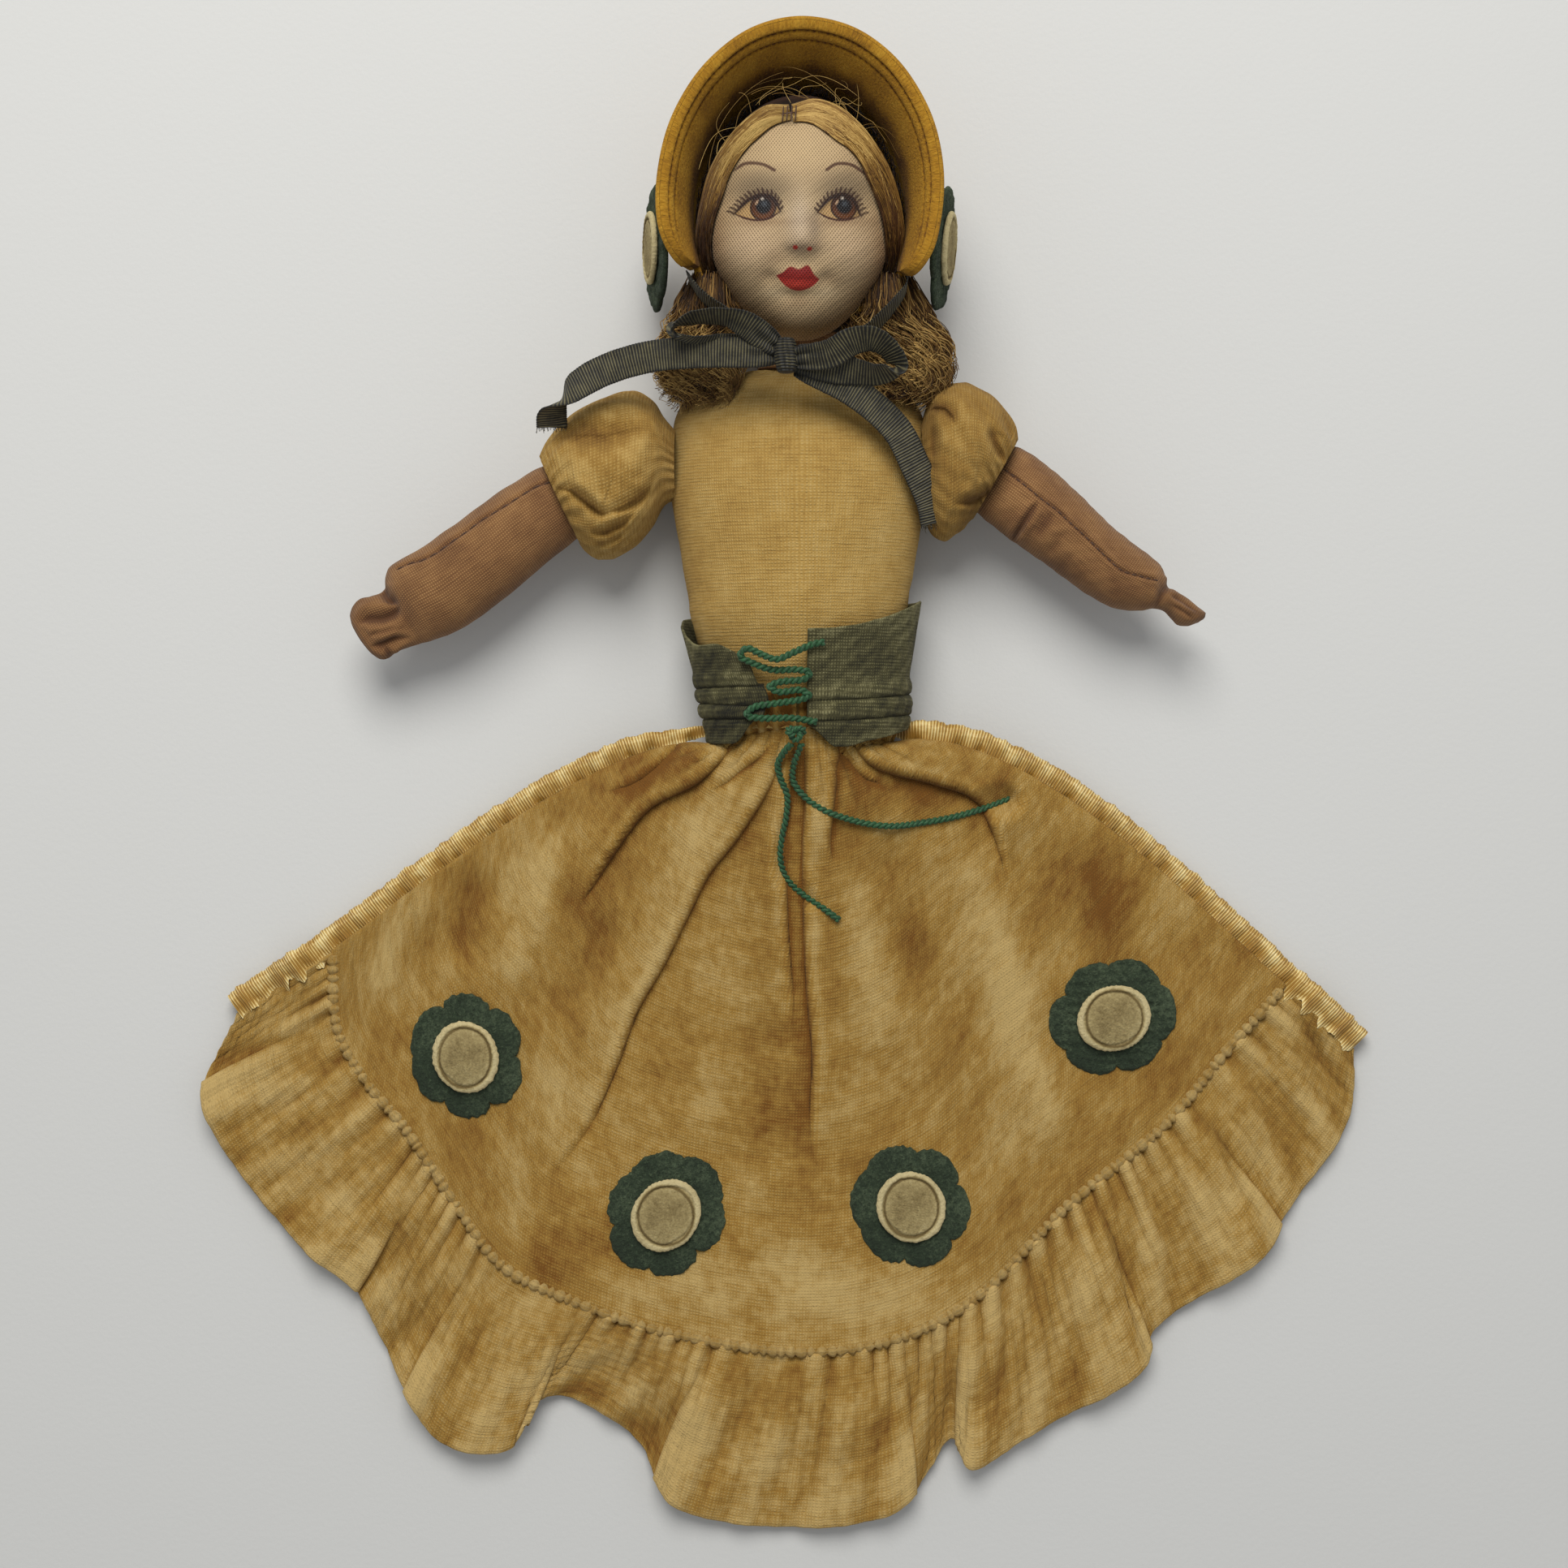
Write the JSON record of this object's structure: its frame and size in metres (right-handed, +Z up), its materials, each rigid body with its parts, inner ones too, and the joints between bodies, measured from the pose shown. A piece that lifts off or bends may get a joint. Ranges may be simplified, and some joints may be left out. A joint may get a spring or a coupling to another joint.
{
  "type": "cloth doll",
  "caption": "Stuffed cloth doll lying on its back, with fanned velvet skirt, laced cincher, puff sleeves and felt bonnet; head turns, arms lift and swing, skirt folds at the waist.",
  "frame": {"origin": "middle of the doll's outline, on the surface it lies on", "axes": "+Y from the hem to the bonnet, +Z up from the back to the face, +X to the right of someone looking down at the face"},
  "size_m": [0.2376, 0.297, 0.0445],
  "materials": {
    "bodice_velvet": "golden tan cotton velvet, worn",
    "skirt_velvet": "ochre cotton velvet, worn pale on the folds",
    "skin_cotton": "peach tan cotton",
    "face_knit": "moulded knit, painted features",
    "stuffing": "cotton stuffing",
    "mustard_felt": "mustard wool felt",
    "mohair": "golden mohair",
    "ribbon": "grey green grosgrain ribbon",
    "cincher_velvet": "grey green velvet",
    "lacing_cord": "twisted green cord",
    "binding_ribbon": "pale gold satin ribbon",
    "green_felt": "deep green wool felt",
    "cream_felt": "cream wool felt"
  },
  "bodies": {
    "torso": {"torso_cover": "bodice_velvet", "torso_stuffing": "stuffing", "neck": "skin_cotton", "cincher": "cincher_velvet", "waist_gathers": "skirt_velvet", "lacing": "lacing_cord", "lacing_knot": "lacing_cord"},
    "head": {"face_mask": "face_knit", "head_stuffing": "stuffing", "wig_back": "mohair", "wig_front_left": "mohair", "wig_front_right": "mohair", "curls_left": "mohair", "curls_right": "mohair", "bonnet_crown": "mustard_felt", "bonnet_brim": "mustard_felt", "bonnet_flower_left": "green_felt", "bonnet_flower_centre_left": "cream_felt", "bonnet_flower_right": "green_felt", "bonnet_flower_centre_right": "cream_felt", "bow_knot": "ribbon", "chin_strap_left": "ribbon", "chin_strap_right": "ribbon", "bow_loop_left": "ribbon", "bow_loop_right": "ribbon", "bow_tail_left": "ribbon", "bow_tail_right": "ribbon"},
    "left_shoulder": {"left_shoulder_tab": "skin_cotton", "left_sleeve": "bodice_velvet"},
    "left_arm": {"left_arm_cover": "skin_cotton", "left_arm_stuffing": "stuffing"},
    "right_shoulder": {"right_shoulder_tab": "skin_cotton", "right_sleeve": "bodice_velvet"},
    "right_arm": {"right_arm_cover": "skin_cotton", "right_arm_stuffing": "stuffing"},
    "skirt": {"skirt_panel": "skirt_velvet", "ruffle": "skirt_velvet", "binding_left": "binding_ribbon", "binding_right": "binding_ribbon", "flower_1": "green_felt", "flower_centre_1": "cream_felt", "flower_2": "green_felt", "flower_centre_2": "cream_felt", "flower_3": "green_felt", "flower_centre_3": "cream_felt", "flower_4": "green_felt", "flower_centre_4": "cream_felt", "lace_end_short": "lacing_cord", "lace_end_long": "lacing_cord"}
  },
  "joints": [
    {"name": "head_turn", "type": "hinge", "parent": "torso", "child": "head", "pos_m": [0.00237, 0.0917, 0.019], "axis": [0, 1, 0], "range_deg": [-15, 15], "deforming": ["curls_left", "curls_right", "bow_loop_left", "bow_loop_right", "bow_tail_left", "bow_tail_right"]},
    {"name": "left_arm_lift", "type": "hinge", "parent": "torso", "child": "left_shoulder", "pos_m": [-0.02478, 0.06736, 0.014], "axis": [0, 1, 0], "range_deg": [0, 60], "deforming": ["left_sleeve"]},
    {"name": "left_arm_raise", "type": "hinge", "parent": "left_shoulder", "child": "left_arm", "pos_m": [-0.03082, 0.06736, 0.014], "axis": [0, 0, -1], "range_deg": [-25, 40]},
    {"name": "right_arm_lift", "type": "hinge", "parent": "torso", "child": "right_shoulder", "pos_m": [0.02952, 0.06736, 0.014], "axis": [0, -1, 0], "range_deg": [0, 60], "deforming": ["right_sleeve"]},
    {"name": "right_arm_raise", "type": "hinge", "parent": "right_shoulder", "child": "right_arm", "pos_m": [0.03556, 0.06736, 0.014], "axis": [0, 0, 1], "range_deg": [-25, 40]},
    {"name": "waist_fold", "type": "hinge", "parent": "torso", "child": "skirt", "pos_m": [0.00237, 0.00986, 0.0199], "axis": [-1, 0, 0], "range_deg": [0, 60], "deforming": ["lace_end_short", "lace_end_long"]}
  ]
}
